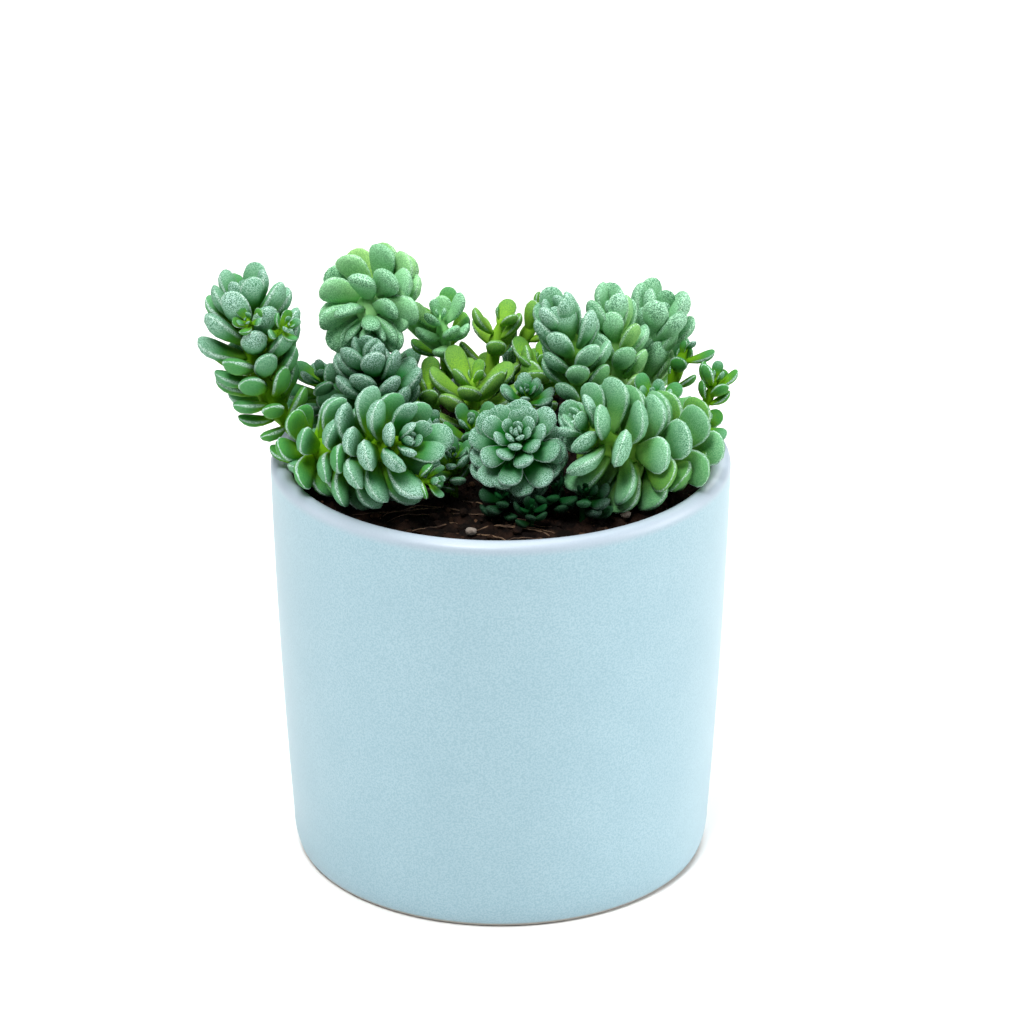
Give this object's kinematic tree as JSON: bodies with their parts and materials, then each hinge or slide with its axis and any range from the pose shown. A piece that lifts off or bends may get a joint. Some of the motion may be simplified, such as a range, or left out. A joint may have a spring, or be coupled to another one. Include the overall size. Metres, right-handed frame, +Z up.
{
  "type": "potted sedum",
  "caption": "Stonecrop with rosettes of plump blue-green leaves on short spreading stems, growing in soil in a straight-sided glazed pot that stands on its flat base.",
  "frame": {"origin": "centre of the pot's flat underside, on the surface it stands on", "axes": "+Z up along the pot's axis, -Y towards the front that the picture shows, +X to the right of that view"},
  "size_m": [0.0813, 0.07, 0.0948],
  "materials": {
    "glazed_pot": "satin",
    "soil": "matte",
    "grit": "matte",
    "leaf": "satin"
  },
  "bodies": {
    "root": {"pot": "glazed_pot", "soil": "soil", "grit_1": "grit", "grit_2": "grit", "grit_3": "grit", "stem_left_tall": "leaf", "stem_front_left": "leaf", "stem_front_middle": "leaf", "stem_front_right": "leaf", "stem_middle_right": "leaf", "stem_right_upright": "leaf", "stem_back_right": "leaf", "stem_drooping": "leaf", "stem_left_middle": "leaf", "stem_left_behind": "leaf", "stem_right_small": "leaf", "stem_right_thin": "leaf", "stem_right_bud": "leaf", "stem_right_low": "leaf", "bud_behind_middle": "leaf", "stem_middle_left": "leaf", "bud_front_left": "leaf", "stem_centre": "leaf", "stem_centre_left": "leaf", "stem_back_thin_1": "leaf", "stem_back_thin_2": "leaf", "stem_back_thin_3": "leaf", "stem_back_green": "leaf", "sprout_front_1": "leaf", "sprout_front_2": "leaf", "sprout_front_3": "leaf", "sprout_front_4": "leaf", "stem_behind_front_left": "leaf", "stem_back_low_1": "leaf", "stem_back_low_2": "leaf", "stem_back_low_3": "leaf"}
  },
  "joints": []
}
